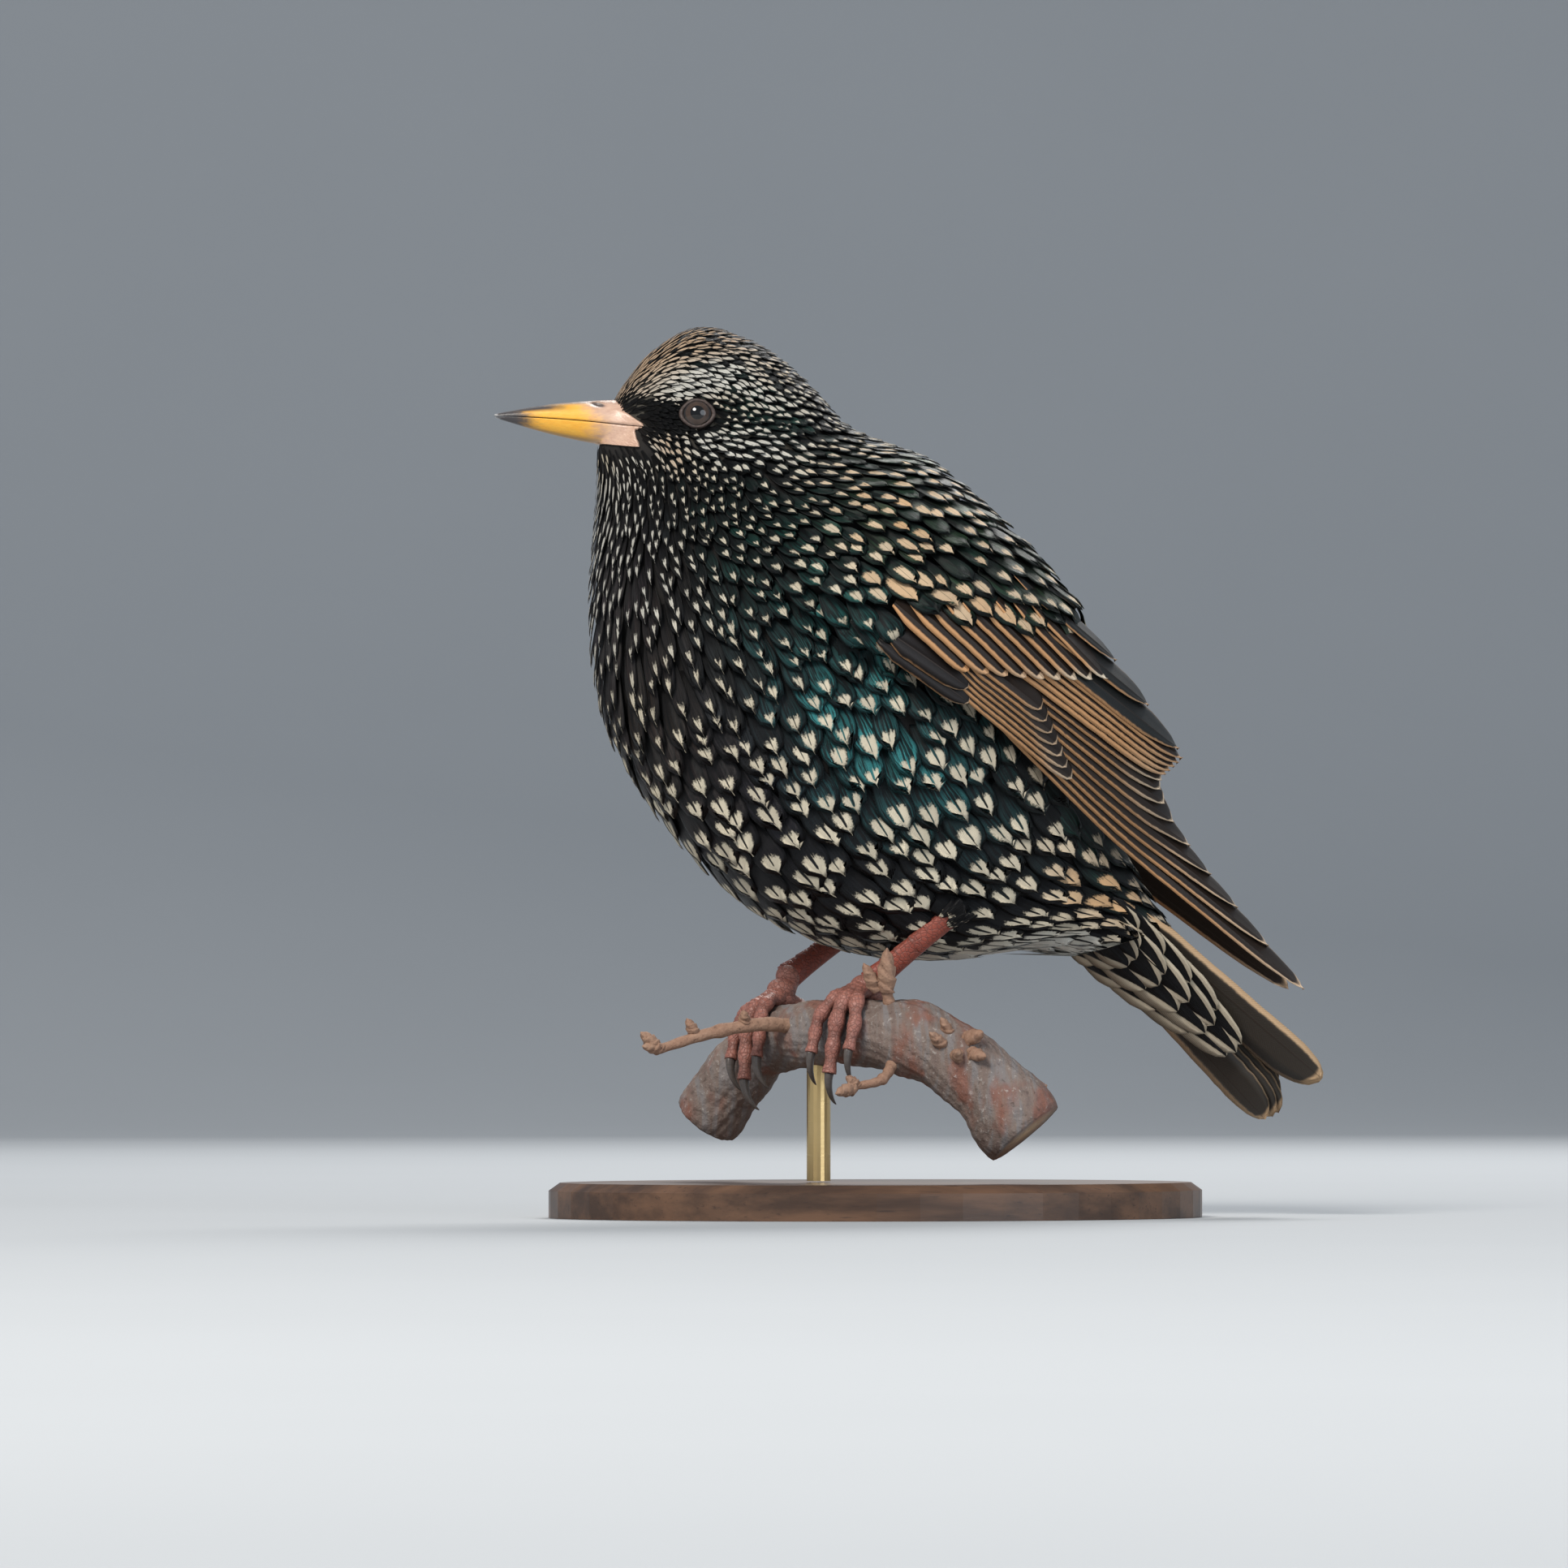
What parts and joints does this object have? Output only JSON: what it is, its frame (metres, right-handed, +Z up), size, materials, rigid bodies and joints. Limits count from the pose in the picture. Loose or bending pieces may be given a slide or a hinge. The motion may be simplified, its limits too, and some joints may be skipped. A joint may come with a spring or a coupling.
{
  "type": "starling",
  "caption": "Life-size starling in spotted winter plumage, perched upright on a cut length of branch over an oval display base.",
  "frame": {"origin": "middle of the flat underside of the display base", "axes": "+Z up, -X the way the bird faces, -Y its left side"},
  "size_m": [0.1679, 0.094, 0.1783],
  "materials": {
    "plumage": "glossy black feathers with cream and buff tips",
    "wing_feather": "dark brown vanes with buff edges",
    "tail_feather": "dark brown vanes with pale edges",
    "bill": "horn, yellow with a dark tip",
    "eye": "wet, dark brown",
    "leg_skin": "scaly, brick red",
    "claw": "dark horn",
    "bark": "grey-brown bark with pale buds",
    "stand_metal": "satin",
    "stand_wood": "dark stained, satin"
  },
  "bodies": {
    "root": {"head": "plumage", "neck": "plumage", "torso": "plumage", "rump": "plumage", "bill_upper": "bill", "bill_lower": "bill", "eye_left": "eye", "eye_right": "eye", "wing_left": "wing_feather", "wing_right": "wing_feather", "tail": "tail_feather", "leg_left": "leg_skin", "leg_right": "leg_skin", "foot_left": "leg_skin", "foot_right": "leg_skin", "claw_left_inner": "claw", "claw_left_middle": "claw", "claw_left_outer": "claw", "claw_left_hind": "claw", "claw_right_inner": "claw", "claw_right_middle": "claw", "claw_right_outer": "claw", "claw_right_hind": "claw", "perch": "bark", "stand_rod": "stand_metal", "stand_base": "stand_wood"}
  },
  "joints": []
}
